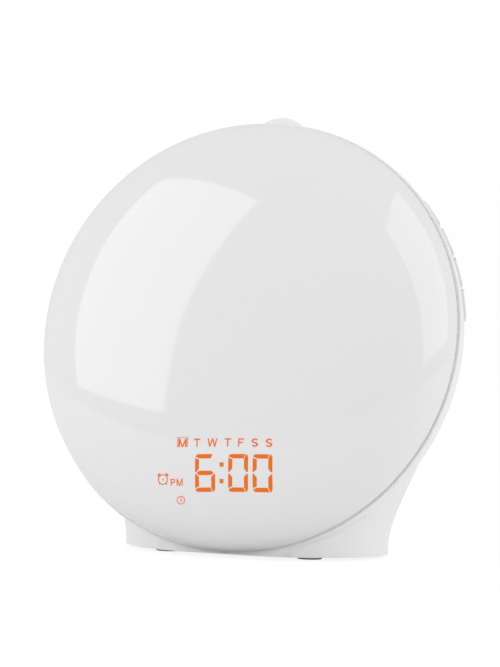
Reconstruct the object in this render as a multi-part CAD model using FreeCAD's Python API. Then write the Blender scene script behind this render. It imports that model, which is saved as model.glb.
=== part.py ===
"""Sunrise alarm clock: an opal dome on a round housing that leans back on a flared foot.

Two frames are used, both in millimetres.
The stand frame has +Z up, the lit face towards -Y and the clock's right side towards +X.
The disc frame has its origin at the centre of the seam between dome and housing, x to the
right, y up the leaning face and z out of the face. Round pieces are made in the disc frame
and leaned back by lean().
"""

import math
import os

import FreeCAD
import Part
from FreeCAD import Placement, Rotation, Vector

# Stance
TILT = 14.5                 # lean of the face, degrees from upright
SEAM_HEIGHT = 85.8          # centre of the seam above the table
FOOT_PAD_HEIGHT = 1.2       # rubber pads lift the foot by this much

# Opal dome
DOME_RADIUS = 87.0
DOME_HEIGHT = 34.5
DOME_POWER = 2.2            # exponent of the dome's superellipse section
DOME_WALL = 2.2
DOME_EDGE = 0.6             # eased edge at the dome's rim
SKIRT_RADIUS = 84.4         # skirt that drops into the housing
SKIRT_DEPTH = 3.6
SEAM_GAP = 0.8              # open groove between dome and housing

# Rear housing
RING_RADIUS = 87.5
RING_BAND = 2.5             # straight band behind the seam
RING_EDGE = 0.5
RING_BORE_CLEARANCE = 0.2   # dome skirt in the housing's bore
HOUSING_WALL = 2.4
REAR_DEPTH = 64.0           # full depth of the rear superellipse
REAR_POWER = 1.6
REAR_FLAT_DEPTH = 58.0      # the superellipse is cut flat here for the speaker
REAR_FLAT_FILLET = 7.0

# Foot
FOOT_HALF_WIDTH = 54.3
FOOT_FRONT_Y = -24.0
FOOT_REAR_Y = 48.6
WAIST_HEIGHT = 8.0
WAIST_HALF_WIDTH = 54.9
FLARE_HEIGHT = 22.0
FLARE_HALF_WIDTH = 59.8
FLARE_BACK = 0.4            # how far the back has flared by this height
SHOULDER_HEIGHT = 38.0
SHOULDER_HALF_WIDTH = 66.8
SHOULDER_BACK = 1.2
FOOT_TOP_HEIGHT = 54.0
FOOT_TOP_HALF_WIDTH = 70.0
FOOT_TOP_BACK = 2.4

# Reflector pan behind the dome
PAN_THICKNESS = 1.8
PAN_CLEARANCE = 0.3
PAN_WELL_RADIUS = 36.0
PAN_WELL_DEPTH = 6.4
PAN_WELL_SLOPE = 4.0
PAN_SCREW_RADIUS = 76.0
PAN_SCREW_ANGLES = (62.0, 118.0, 194.0, 346.0)

# Screws and bosses
SCREW_SHANK = 1.25
SCREW_HEAD = 2.6
SCREW_HEAD_HEIGHT = 1.6
SCREW_CHAMFER = 0.6
SCREW_GRIP = 7.0
SCREW_HOLE = 1.6
BOSS_RADIUS = 3.4
BOSS_DEPTH = 30.0

# Lamp board
LAMP_BOARD_RADIUS = 30.0
BOARD_THICKNESS = 1.6
LAMP_SIZE = 3.5
LAMP_HEIGHT = 0.9
LAMP_RINGS = ((12.0, 8), (23.0, 16))    # ring radius and lamps on it

# Display
DISPLAY_CENTRE = -57.6      # height of the digits' middle on the disc
DIGIT_HEIGHT = 14.4
DIGIT_WIDTH = 8.2
DIGIT_PITCH = 9.7
COLON_SPACE = 3.5
SEGMENT_WIDTH = 1.7
SEGMENT_GAP = 0.35
COLON_RISE = 3.2
DISPLAY_WIDTH = 49.0
DISPLAY_TOP = -44.0
DISPLAY_BOTTOM = -70.0
DISPLAY_DOME_GAP = 0.3
SEGMENT_CLEARANCE = 0.05
DIGITS_OFFSET = 2.9         # digits sit right of the block's middle, icons left of them

# Keys
KEY_DEPTH = 10.0            # keys lie this far behind the seam
KEY_TRAVEL = 0.6
KEY_PROUD = 0.9
KEY_GAP = 0.3
KEY_FLANGE = 0.5            # retaining flange beyond each side of the key
KEY_FLANGE_THICKNESS = 1.3
KEY_STEM_RADIUS = 1.5
KEY_CORNER = 1.6
SIDE_KEY_LENGTH = 11.8
SIDE_KEY_WIDTH = 5.6
SIDE_KEY_PITCH = 13.4
SIDE_KEY_COUNT = 4
SIDE_KEY_ANGLE = 26.0       # middle of each side row above the horizontal
SNOOZE_LENGTH = 16.6
SNOOZE_WIDTH = 7.6
SNOOZE_RISE = 4.2           # top of the snooze key above the ring
SNOOZE_ARCH = 3.0           # the bar's top falls this much towards its ends
SNOOZE_EDGE = 1.2
SNOOZE_RIB_COUNT = 4
SNOOZE_RIB_PITCH = 2.3
SNOOZE_RIB_WIDTH = 0.9
SNOOZE_RIB_HEIGHT = 0.3
KEY_BOARD_FACE = 70.0       # key boards' outer face from the disc's axis
KEY_BOARD_WIDTH = 8.0
KEY_BOARD_OVERHANG = 7.0
SWITCH_SIZE = 4.5
SWITCH_HEIGHT = 1.8
SWITCH_PLUNGER_RADIUS = 1.0
SWITCH_PLUNGER_HEIGHT = 0.8
SWITCH_SLACK = 0.15         # plunger clearance left at full travel
RIB_THICKNESS = 2.0

# Main board
MAIN_BOARD_WIDTH = 90.0
MAIN_BOARD_HEIGHT = 56.0
MAIN_BOARD_CENTRE = 9.0
MAIN_BOARD_DEPTH = 28.0
MAIN_POST_RADIUS = 3.0
MAIN_POST_INSET = 5.0
CHIP_SIZE = 12.0
CHIP_HEIGHT = 1.2

# Speaker
SPEAKER_RADIUS = 20.0
SPEAKER_FLANGE = 1.2
SPEAKER_BASKET_DEPTH = 9.0
SPEAKER_BASKET_RADIUS = 16.5
SPEAKER_MAGNET_RADIUS = 12.0
SPEAKER_MAGNET_DEPTH = 6.0
SPEAKER_CONE_WALL = 0.5
SPEAKER_RING_WIDTH = 5.5
SPEAKER_RING_THICKNESS = 1.5
SPEAKER_SCREW_RADIUS = 22.4
SPEAKER_BOSS_RADIUS = 1.9
GRILLE_SLOT_COUNT = 7
GRILLE_SLOT_WIDTH = 1.8
GRILLE_SLOT_PITCH = 4.2
GRILLE_RADIUS = 15.5

# Base plate, pads and backup cell
PLATE_THICKNESS = 2.0
PLATE_CLEARANCE = 0.3
PAD_RADIUS = 5.0
PAD_FRONT = (30.0, -7.0)
PAD_REAR = (20.0, 34.0)
PLATE_SCREW_SIDE = (46.6, 12.5)
PLATE_SCREW_REAR = (36.0, 30.5)
PLATE_BOSS_TOP = 15.0
DOOR_LENGTH = 27.0
DOOR_CORNER = 3.0
DOOR_CENTRE_Y = 8.0
DOOR_CLEARANCE = 0.3
DOOR_SCREW_INSET = 3.4
CELL_RADIUS = 10.0
CELL_HEIGHT = 3.2
CELL_CLEARANCE = 0.2
HOLDER_WALL = 1.6
HOLDER_LENGTH = 25.0

# Power and charging sockets
PORT_BOARD_HEIGHT = 9.0
PORT_BOARD_LENGTH = 52.0
PORT_BOARD_DEPTH = 24.0
PORT_OFFSET = 14.0
PORT_SET_BACK = 0.6
PORT_CLEARANCE = 0.3
JACK_BODY_WIDTH = 9.0
JACK_BODY_HEIGHT = 11.0
JACK_BODY_LENGTH = 10.0
JACK_BARREL_RADIUS = 4.0
JACK_BORE_RADIUS = 2.85
JACK_BORE_DEPTH = 9.5
JACK_PIN_RADIUS = 1.0
SOCKET_WIDTH = 13.2
SOCKET_HEIGHT = 5.8
SOCKET_LENGTH = 14.0
SOCKET_SHELL = 0.4
SOCKET_TONGUE = 1.9
SOCKET_TONGUE_DROP = 0.5    # gap between the tongue and the shell above it
SOCKET_DEPTH = 11.0

# Worked-out values
HALF_SEAM = SEAM_GAP / 2
RING_BORE = SKIRT_RADIUS + RING_BORE_CLEARANCE
PAN_TOP = -SKIRT_DEPTH
PAN_BACK = PAN_TOP - PAN_THICKNESS
REAR_WALL_INNER = -(REAR_FLAT_DEPTH - HOUSING_WALL)
FOOT_BOTTOM = FOOT_PAD_HEIGHT
FOOT_CENTRE_Y = (FOOT_FRONT_Y + FOOT_REAR_Y) / 2
FOOT_HALF_DEPTH = (FOOT_REAR_Y - FOOT_FRONT_Y) / 2
PLATE_TOP = FOOT_BOTTOM + PLATE_THICKNESS
REACH = 3 * RING_RADIUS     # longer than anything in the clock
EMBED = 1.0                 # how far a boss or rib runs into what carries it
# Points along a bulge as shares of its sweep, three to an arc
BULGE_SHARES = (0, 0.12, 0.24, 0.42, 0.6, 0.74, 0.87, 0.94, 1)

ACROSS = Vector(1, 0, 0)
AXIS = Vector(0, 0, 1)
CENTRE = Vector(0, 0, 0)
LEAN = Placement(Vector(0, 0, SEAM_HEIGHT), Rotation(ACROSS, 90 - TILT))


def lean(shape):
    """Moves a shape from the disc frame to the stand frame."""
    moved = shape.copy()
    moved.Placement = LEAN.multiply(moved.Placement)
    return moved


def mirrored(shape):
    return shape.mirror(CENTRE, ACROSS)


def box(low, high):
    size = [b - a for a, b in zip(low, high)]
    return Part.makeBox(*size, Vector(*low))


def disc(radius, low, high, x=0.0, y=0.0):
    """A cylinder along z from low to high."""
    return Part.makeCylinder(radius, high - low, Vector(x, y, low), AXIS)


def polar(radius, angle):
    return radius * math.cos(math.radians(angle)), radius * math.sin(math.radians(angle))


def spun(corners):
    """Revolves a closed section of (radius, z) corners about the z axis."""
    points = [Vector(r, 0, z) for r, z in corners]
    face = Part.Face(Part.makePolygon(points + points[:1]))
    return face.revolve(CENTRE, AXIS, 360)


def rounded_rectangle(length, width, corner):
    """A flat face in the xy plane with rounded corners, length along x."""
    a = length / 2
    b = width / 2
    k = corner * (1 - math.sqrt(0.5))
    edges = []
    for sx, sy in ((1, 1), (-1, 1), (-1, -1), (1, -1)):
        side = Vector(sx * a, sy * (b - corner), 0)
        middle = Vector(sx * (a - k), sy * (b - k), 0)
        end = Vector(sx * (a - corner), sy * b, 0)
        corner_points = (side, middle, end) if sx * sy > 0 else (end, middle, side)
        edges.append(corner_points)
    outline = []
    for index, points in enumerate(edges):
        outline.append(Part.Arc(*points).toShape())
        following = edges[(index + 1) % len(edges)][0]
        outline.append(Part.LineSegment(points[-1], following).toShape())
    return Part.Face(Part.Wire(outline))


def bulge(radius, height, power, cut=None):
    """Points along a superellipse from the rim (radius, 0) towards the apex (0, height).

    With cut they end at that height instead of at the apex.
    """
    last = math.pi / 2
    if cut is not None:
        last = math.asin((cut / height) ** (power / 2))
    points = []
    for share in BULGE_SHARES:
        angle = last * share
        r = radius * max(0.0, math.cos(angle)) ** (2 / power)
        z = height * math.sin(angle) ** (2 / power)
        points.append(Vector(r, 0, z))
    return points


def arcs(points):
    """Arcs through the points, three to an arc, end to end."""
    return [
        Part.Arc(*points[first:first + 3]).toShape() for first in range(0, len(points) - 2, 2)
    ]


def crown(rim, apex):
    """Arc from rim to an apex on the axis, level at the apex."""
    drop = apex.z - rim.z
    radius = (rim.x ** 2 + drop ** 2) / (2 * drop)
    half = math.asin(rim.x / radius) / 2
    middle = Vector(radius * math.sin(half), 0, apex.z - radius * (1 - math.cos(half)))
    return Part.Arc(rim, middle, apex).toShape()


def dome_form(radius, height, base):
    """Solid dome whose rim lies at z = base."""
    up = Vector(0, 0, base)
    points = [p + up for p in bulge(radius, height, DOME_POWER)]
    apex = Vector(0, 0, base + height)
    floor = Part.LineSegment(up, points[0]).toShape()
    axis = Part.LineSegment(apex, up).toShape()
    section = Part.Wire([floor] + arcs(points[:-2]) + [crown(points[-3], apex), axis])
    return Part.Face(section).revolve(CENTRE, AXIS, 360)


def rear_form(grow, top=-HALF_SEAM):
    """Solid of the round rear, grown outwards by grow, from z = top back to its flat."""
    radius = RING_RADIUS + grow
    flat = REAR_FLAT_DEPTH + grow
    reach = REAR_DEPTH + grow
    side = [
        Vector(p.x, 0, -RING_BAND - p.z)
        for p in bulge(radius, reach - RING_BAND, REAR_POWER, flat - RING_BAND)
    ]
    lid = Part.LineSegment(Vector(0, 0, top), Vector(radius, 0, top)).toShape()
    band = Part.LineSegment(Vector(radius, 0, top), side[0]).toShape()
    back = Part.LineSegment(side[-1], Vector(0, 0, -flat)).toShape()
    axis = Part.LineSegment(Vector(0, 0, -flat), Vector(0, 0, top)).toShape()
    section = Part.Wire([lid, band] + arcs(side) + [back, axis])
    solid = Part.Face(section).revolve(CENTRE, AXIS, 360)
    corner = [
        e for e in solid.Edges
        if abs(e.BoundBox.ZMax + flat) < 0.01 and e.BoundBox.ZLength < 0.01 and e.Length > 1
    ]
    return solid.makeFillet(REAR_FLAT_FILLET + grow, corner)


def foot_sections():
    """Height, half width and flare at the back of each oval section."""
    return (
        (0.0, FOOT_HALF_WIDTH, 0.0),
        (WAIST_HEIGHT, WAIST_HALF_WIDTH, 0.0),
        (FLARE_HEIGHT, FLARE_HALF_WIDTH, FLARE_BACK),
        (SHOULDER_HEIGHT, SHOULDER_HALF_WIDTH, SHOULDER_BACK),
        (FOOT_TOP_HEIGHT, FOOT_TOP_HALF_WIDTH, FOOT_TOP_BACK),
    )


def foot_form(shrink):
    """Flared oval foot in the stand frame, drawn in by shrink."""
    wires = []
    for height, half_width, back in foot_sections():
        centre = Vector(0, FOOT_CENTRE_Y + back / 2, FOOT_BOTTOM + height)
        oval = Part.Ellipse(centre, half_width - shrink, FOOT_HALF_DEPTH + back / 2 - shrink)
        wires.append(Part.Wire([oval.toShape()]))
    return Part.makeLoft(wires, True, False)


def behind(depth):
    """Everything in the stand frame that lies behind z = -depth of the disc frame."""
    return lean(box((-REACH, -REACH, -2 * REACH), (REACH, REACH, -depth)))


def above(height):
    return box((-REACH, -REACH, height), (REACH, REACH, 2 * REACH))


def boss(x, y, top, bottom, radius=BOSS_RADIUS):
    return disc(radius, bottom, top, x, y)


def screw(x, y, face, grip=SCREW_GRIP):
    """Pan-head screw along -z with its head seated at z = face."""
    head = disc(SCREW_HEAD, face, face + SCREW_HEAD_HEIGHT, x, y)
    top = [e for e in head.Edges if abs(e.BoundBox.ZMin - face - SCREW_HEAD_HEIGHT) < 0.01]
    head = head.makeChamfer(SCREW_CHAMFER, top)
    return head.fuse(disc(SCREW_SHANK, face - grip, face, x, y))


def key_prism(length, width, corner, low, high, shift=0.0):
    """Rounded bar along +x of the disc frame, shift moves it along the rim (y)."""
    face = rounded_rectangle(length, width, corner)
    face.Placement = Placement(
        Vector(low, shift, -KEY_DEPTH), Rotation(Vector(0, 1, 0), Vector(0, 0, 1), ACROSS)
    )
    return face.extrude(Vector(high - low, 0, 0))


def turned(shape, angle):
    moved = shape.copy()
    moved.rotate(CENTRE, AXIS, angle)
    return moved


def switch_top():
    return KEY_BOARD_FACE + SWITCH_HEIGHT + SWITCH_PLUNGER_HEIGHT


def key_retainer(length, width, shift):
    """Flange under the wall and stem down to the switch, before turning to its angle."""
    under = -(HOUSING_WALL + KEY_GAP)
    bar = key_prism(
        length + 2 * KEY_FLANGE, width + 2 * KEY_FLANGE, KEY_CORNER, KEY_BOARD_FACE, REACH, shift
    )
    flange = bar.common(rear_form(under)).cut(rear_form(under - KEY_FLANGE_THICKNESS))
    neck = key_prism(length, width, KEY_CORNER, KEY_BOARD_FACE, REACH, shift)
    neck = neck.common(rear_form(0)).cut(rear_form(under - KEY_FLANGE_THICKNESS / 2))
    foot = switch_top() + KEY_TRAVEL + SWITCH_SLACK
    stem = Part.makeCylinder(KEY_STEM_RADIUS, REACH, Vector(foot, shift, -KEY_DEPTH), ACROSS)
    stem = stem.common(rear_form(under - KEY_FLANGE_THICKNESS / 2))
    return neck.fuse([flange, stem])


def side_key(shift):
    cap = key_prism(SIDE_KEY_LENGTH, SIDE_KEY_WIDTH, KEY_CORNER, KEY_BOARD_FACE, REACH, shift)
    cap = cap.common(rear_form(KEY_PROUD)).cut(rear_form(-HOUSING_WALL / 2))
    key = cap.fuse(key_retainer(SIDE_KEY_LENGTH, SIDE_KEY_WIDTH, shift)).removeSplitter()
    return turned(key, SIDE_KEY_ANGLE)


def side_key_shifts():
    middle = (SIDE_KEY_COUNT - 1) / 2
    return [(middle - index) * SIDE_KEY_PITCH for index in range(SIDE_KEY_COUNT)]


def snooze_button():
    """Bar with an arched, ribbed top and eased long edges."""
    top = RING_RADIUS + SNOOZE_RISE
    low = RING_RADIUS - HOUSING_WALL
    half = SNOOZE_LENGTH / 2
    back = -KEY_DEPTH - SNOOZE_WIDTH / 2
    shoulders = [Vector(top - SNOOZE_ARCH, side * half, back) for side in (-1, 1)]
    feet = [Vector(low, side * half, back) for side in (1, -1)]
    outline = Part.Wire([
        Part.Arc(shoulders[0], Vector(top, 0, back), shoulders[1]).toShape(),
        Part.LineSegment(shoulders[1], feet[0]).toShape(),
        Part.LineSegment(feet[0], feet[1]).toShape(),
        Part.LineSegment(feet[1], shoulders[0]).toShape(),
    ])
    cap = Part.Face(outline).extrude(Vector(0, 0, SNOOZE_WIDTH))
    corners = [e for e in cap.Edges if e.BoundBox.XLength > 1 and e.BoundBox.YLength < 0.01]
    cap = cap.makeFillet(KEY_CORNER, corners)
    ridges = [e for e in cap.Edges if e.BoundBox.XMin > top - SNOOZE_ARCH - 0.01]
    cap = cap.makeFillet(SNOOZE_EDGE, ridges).cut(rear_form(-HOUSING_WALL / 2))
    ribs = []
    middle = (SNOOZE_RIB_COUNT - 1) / 2
    for index in range(SNOOZE_RIB_COUNT):
        y = (index - middle) * SNOOZE_RIB_PITCH
        crest = top + SNOOZE_RIB_HEIGHT - SNOOZE_ARCH * (y / half) ** 2
        ribs.append(box(
            (crest - EMBED, y - SNOOZE_RIB_WIDTH / 2, -KEY_DEPTH - SNOOZE_WIDTH / 3),
            (crest, y + SNOOZE_RIB_WIDTH / 2, -KEY_DEPTH + SNOOZE_WIDTH / 3),
        ))
    key = cap.fuse([key_retainer(SNOOZE_LENGTH, SNOOZE_WIDTH, 0.0)] + ribs)
    return turned(key.removeSplitter(), 90)


def key_windows():
    gap = 2 * KEY_GAP
    side = []
    for shift in side_key_shifts():
        window = key_prism(
            SIDE_KEY_LENGTH + gap, SIDE_KEY_WIDTH + gap, KEY_CORNER + KEY_GAP,
            KEY_BOARD_FACE, REACH, shift,
        )
        side.append(turned(window, SIDE_KEY_ANGLE))
    top = key_prism(
        SNOOZE_LENGTH + gap, SNOOZE_WIDTH + gap, KEY_CORNER + KEY_GAP, KEY_BOARD_FACE, REACH
    )
    return side + [mirrored(w) for w in side] + [turned(top, 90)]


def grille_slots():
    slots = []
    middle = (GRILLE_SLOT_COUNT - 1) / 2
    for index in range(GRILLE_SLOT_COUNT):
        y = (index - middle) * GRILLE_SLOT_PITCH
        length = 2 * math.sqrt(GRILLE_RADIUS ** 2 - y ** 2) + GRILLE_SLOT_WIDTH
        face = rounded_rectangle(length, GRILLE_SLOT_WIDTH, GRILLE_SLOT_WIDTH * 0.49)
        face.translate(Vector(0, y, -REACH))
        slots.append(face.extrude(Vector(0, 0, REACH + REAR_WALL_INNER + EMBED)))
    return slots


def speaker_screw_spots():
    return [polar(SPEAKER_SCREW_RADIUS, angle) for angle in (90, 210, 330)]


def port_face_y(x):
    """Rear face of the foot at offset x, at the height of the sockets."""
    ratio = x / WAIST_HALF_WIDTH
    return FOOT_CENTRE_Y + FOOT_HALF_DEPTH * math.sqrt(1 - ratio ** 2)


def jack_axis_z():
    return PORT_BOARD_HEIGHT + BOARD_THICKNESS + JACK_BODY_HEIGHT / 2


def socket_axis_z():
    return PORT_BOARD_HEIGHT + BOARD_THICKNESS + SOCKET_HEIGHT / 2


def plate_screw_spots():
    side_x, side_y = PLATE_SCREW_SIDE
    rear_x, rear_y = PLATE_SCREW_REAR
    return [(side_x, side_y), (-side_x, side_y), (rear_x, rear_y), (-rear_x, rear_y)]


def plate_bosses():
    """Posts for the base plate's screws, each webbed to the foot's wall."""
    posts = []
    for x, y in plate_screw_spots():
        post = disc(BOSS_RADIUS, PLATE_TOP, PLATE_BOSS_TOP, x, y)
        away = math.atan2((y - FOOT_CENTRE_Y) * FOOT_HALF_WIDTH, x * FOOT_HALF_DEPTH)
        web = box(
            (0, -RIB_THICKNESS / 2, PLATE_TOP), (2 * BOSS_RADIUS, RIB_THICKNESS / 2, PLATE_BOSS_TOP)
        )
        web.rotate(CENTRE, AXIS, math.degrees(away))
        web.translate(Vector(x, y, 0))
        posts.append(post.fuse(web))
    return posts


def rear_housing():
    round_part = rear_form(0)
    lip = [
        e for e in round_part.Edges
        if abs(e.BoundBox.ZMin + HALF_SEAM) < 0.01 and e.BoundBox.ZLength < 0.01
    ]
    round_part = round_part.makeFillet(RING_EDGE, lip)
    outer = lean(round_part).fuse(foot_form(0))
    outer = outer.common(behind(HALF_SEAM)).common(above(FOOT_BOTTOM))
    hollow = lean(rear_form(-HOUSING_WALL)).fuse(foot_form(HOUSING_WALL))
    shell = outer.cut(hollow.common(behind(-PAN_BACK)))
    shell = shell.cut(lean(disc(RING_BORE, PAN_BACK - EMBED, EMBED)))
    # Posts that carry the pan, the speaker ring and the base plate
    posts = []
    for angle in PAN_SCREW_ANGLES:
        x, y = polar(PAN_SCREW_RADIUS, angle)
        posts.append(lean(boss(x, y, PAN_BACK, PAN_BACK - BOSS_DEPTH)))
    for x, y in speaker_screw_spots():
        bottom = REAR_WALL_INNER - EMBED
        posts.append(lean(boss(x, y, REAR_WALL_INNER + SPEAKER_FLANGE, bottom, SPEAKER_BOSS_RADIUS)))
    posts = [post.common(outer) for post in posts + plate_bosses()]
    shell = shell.fuse(posts)
    # Openings
    cuts = [lean(shape) for shape in key_windows() + grille_slots()]
    for angle in PAN_SCREW_ANGLES:
        x, y = polar(PAN_SCREW_RADIUS, angle)
        cuts.append(lean(disc(SCREW_SHANK, PAN_BACK - SCREW_GRIP, PAN_BACK, x, y)))
    for x, y in plate_screw_spots():
        cuts.append(disc(SCREW_SHANK, PLATE_TOP, PLATE_TOP + SCREW_GRIP, x, y))
    jack = Vector(-PORT_OFFSET, FOOT_CENTRE_Y, jack_axis_z())
    cuts.append(Part.makeCylinder(JACK_BARREL_RADIUS + PORT_CLEARANCE, REACH, jack, Vector(0, 1, 0)))
    half = SOCKET_WIDTH / 2 + PORT_CLEARANCE
    rise = SOCKET_HEIGHT / 2 + PORT_CLEARANCE
    cuts.append(box(
        (PORT_OFFSET - half, FOOT_CENTRE_Y, socket_axis_z() - rise),
        (PORT_OFFSET + half, REACH, socket_axis_z() + rise),
    ))
    return shell.cut(cuts)


def diffuser_dome():
    cap = dome_form(DOME_RADIUS, DOME_HEIGHT, HALF_SEAM)
    rim = [
        e for e in cap.Edges
        if abs(e.BoundBox.ZMin - HALF_SEAM) < 0.01 and e.BoundBox.ZLength < 0.01 and e.Length > 1
    ]
    cap = cap.makeChamfer(DOME_EDGE, rim)
    skirt = disc(SKIRT_RADIUS, -SKIRT_DEPTH, HALF_SEAM)
    inner_radius = SKIRT_RADIUS - DOME_WALL
    hollow = dome_form(inner_radius, DOME_HEIGHT - DOME_WALL, HALF_SEAM)
    hollow = hollow.fuse(disc(inner_radius, -SKIRT_DEPTH - EMBED, HALF_SEAM))
    return lean(cap.fuse(skirt).cut(hollow))


def rim_boards():
    """Angle, switch offsets along the board and half length of each key board."""
    shifts = side_key_shifts()
    half = shifts[0] + KEY_BOARD_OVERHANG
    return {
        "right": (SIDE_KEY_ANGLE, shifts, half),
        "left": (SIDE_KEY_ANGLE, shifts, half),
        "snooze": (90.0, [0.0], SNOOZE_LENGTH / 2 + KEY_BOARD_OVERHANG / 2),
    }


def board_ribs(angle, half):
    ribs = []
    face = KEY_BOARD_FACE - BOARD_THICKNESS
    for side in (-1, 1):
        y = side * half / 2
        rib = box(
            (face - RIB_THICKNESS, y - RIB_THICKNESS, PAN_BACK - KEY_BOARD_WIDTH),
            (face, y + RIB_THICKNESS, PAN_BACK + EMBED),
        )
        ribs.append(turned(rib, angle))
    return ribs


def main_post_spots():
    x = MAIN_BOARD_WIDTH / 2 - MAIN_POST_INSET
    y = MAIN_BOARD_HEIGHT / 2 - MAIN_POST_INSET
    return [(sx * x, MAIN_BOARD_CENTRE + sy * y) for sx in (-1, 1) for sy in (-1, 1)]


def reflector_pan():
    floor = PAN_TOP - PAN_WELL_DEPTH
    slope = PAN_WELL_RADIUS + PAN_WELL_SLOPE
    pan = spun([
        (0, floor), (PAN_WELL_RADIUS, floor), (slope, PAN_TOP),
        (RING_BORE - PAN_CLEARANCE, PAN_TOP), (RING_BORE - PAN_CLEARANCE, PAN_BACK),
        (slope, PAN_BACK), (PAN_WELL_RADIUS, floor - PAN_THICKNESS), (0, floor - PAN_THICKNESS),
    ])
    additions = []
    for x, y in main_post_spots():
        additions.append(disc(MAIN_POST_RADIUS, -MAIN_BOARD_DEPTH, PAN_BACK + EMBED, x, y))
    for name, (angle, _, half) in rim_boards().items():
        ribs = board_ribs(angle, half)
        additions += [mirrored(rib) for rib in ribs] if name == "left" else ribs
    pan = pan.fuse(additions)
    holes = []
    for angle in PAN_SCREW_ANGLES:
        x, y = polar(PAN_SCREW_RADIUS, angle)
        holes.append(disc(SCREW_HOLE, PAN_BACK - EMBED, PAN_TOP + EMBED, x, y))
    for x, y in main_post_spots():
        holes.append(disc(SCREW_SHANK, -MAIN_BOARD_DEPTH - EMBED, -MAIN_BOARD_DEPTH + SCREW_GRIP, x, y))
    return lean(pan.cut(holes))


def pan_screws():
    shapes = [screw(*polar(PAN_SCREW_RADIUS, angle), PAN_TOP) for angle in PAN_SCREW_ANGLES]
    return lean(Part.makeCompound(shapes))


def lamp_board():
    floor = PAN_TOP - PAN_WELL_DEPTH
    return lean(disc(LAMP_BOARD_RADIUS, floor, floor + BOARD_THICKNESS))


def lamps():
    low = PAN_TOP - PAN_WELL_DEPTH + BOARD_THICKNESS
    shapes = []
    for radius, count in LAMP_RINGS:
        for index in range(count):
            angle = 360 * index / count
            half = LAMP_SIZE / 2
            lamp = box((radius - half, -half, low), (radius + half, half, low + LAMP_HEIGHT))
            shapes.append(turned(lamp, angle))
    return lean(Part.makeCompound(shapes))


def key_board(name):
    angle, _, half = rim_boards()[name]
    low = (KEY_BOARD_FACE - BOARD_THICKNESS, -half, PAN_BACK - KEY_BOARD_WIDTH)
    board = turned(box(low, (KEY_BOARD_FACE, half, PAN_BACK)), angle)
    return lean(mirrored(board) if name == "left" else board)


def key_switches(name):
    angle, shifts, _ = rim_boards()[name]
    shapes = []
    for shift in shifts:
        half = SWITCH_SIZE / 2
        body = box(
            (KEY_BOARD_FACE, shift - half, -KEY_DEPTH - half),
            (KEY_BOARD_FACE + SWITCH_HEIGHT, shift + half, -KEY_DEPTH + half),
        )
        start = Vector(KEY_BOARD_FACE + SWITCH_HEIGHT, shift, -KEY_DEPTH)
        plunger = Part.makeCylinder(SWITCH_PLUNGER_RADIUS, SWITCH_PLUNGER_HEIGHT, start, ACROSS)
        switch = turned(body.fuse(plunger), angle)
        shapes.append(mirrored(switch) if name == "left" else switch)
    return lean(Part.makeCompound(shapes))


def main_board():
    x = MAIN_BOARD_WIDTH / 2
    y = MAIN_BOARD_HEIGHT / 2
    back = -MAIN_BOARD_DEPTH - BOARD_THICKNESS
    board = box((-x, MAIN_BOARD_CENTRE - y, back), (x, MAIN_BOARD_CENTRE + y, -MAIN_BOARD_DEPTH))
    holes = [disc(SCREW_HOLE, back - EMBED, -MAIN_BOARD_DEPTH + EMBED, *spot) for spot in main_post_spots()]
    return lean(board.cut(holes))


def controller_chips():
    """Clock controller and sound chip on the main board's front."""
    shapes = []
    for x, y, size in ((-18.0, 18.0, CHIP_SIZE), (16.0, 2.0, 0.8 * CHIP_SIZE)):
        half = size / 2
        low = (x - half, MAIN_BOARD_CENTRE + y - half, -MAIN_BOARD_DEPTH)
        shapes.append(box(low, (x + half, MAIN_BOARD_CENTRE + y + half, -MAIN_BOARD_DEPTH + CHIP_HEIGHT)))
    return lean(Part.makeCompound(shapes))


def board_screws():
    face = -MAIN_BOARD_DEPTH - BOARD_THICKNESS
    shapes = []
    for x, y in main_post_spots():
        flipped = screw(0, 0, 0)
        flipped.rotate(CENTRE, ACROSS, 180)
        flipped.translate(Vector(x, y, face))
        shapes.append(flipped)
    return lean(Part.makeCompound(shapes))


def display_block():
    """Light guide block from the display board up to the dome's inner face."""
    half = DISPLAY_WIDTH / 2
    bottom = PAN_TOP + BOARD_THICKNESS
    block = box((-half, DISPLAY_BOTTOM, bottom), (half, DISPLAY_TOP, REACH))
    inner_radius = SKIRT_RADIUS - DOME_WALL - DISPLAY_DOME_GAP
    room = dome_form(inner_radius, DOME_HEIGHT - DOME_WALL - DISPLAY_DOME_GAP, HALF_SEAM)
    room = room.fuse(disc(inner_radius, PAN_TOP, HALF_SEAM))
    return block.common(room)


def segment_outlines():
    """Seven-segment bars as (x, y, length, width) about each digit's middle."""
    reach_x = DIGIT_WIDTH - SEGMENT_WIDTH
    reach_y = (DIGIT_HEIGHT - SEGMENT_WIDTH) / 2
    across = reach_x - 2 * SEGMENT_GAP
    upright = reach_y - 2 * SEGMENT_GAP
    bars = [(0, y, across, SEGMENT_WIDTH) for y in (-reach_y, 0, reach_y)]
    for x in (-reach_x / 2, reach_x / 2):
        bars += [(x, y, SEGMENT_WIDTH, upright) for y in (-reach_y / 2, reach_y / 2)]
    return bars


def hexagon(length, width):
    """Bar with pointed ends, long side along x."""
    a = length / 2
    b = width / 2
    corners = [(a, 0), (a - b, b), (b - a, b), (-a, 0), (b - a, -b), (a - b, -b)]
    points = [Vector(x, y, 0) for x, y in corners]
    return Part.Face(Part.makePolygon(points + points[:1]))


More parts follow.
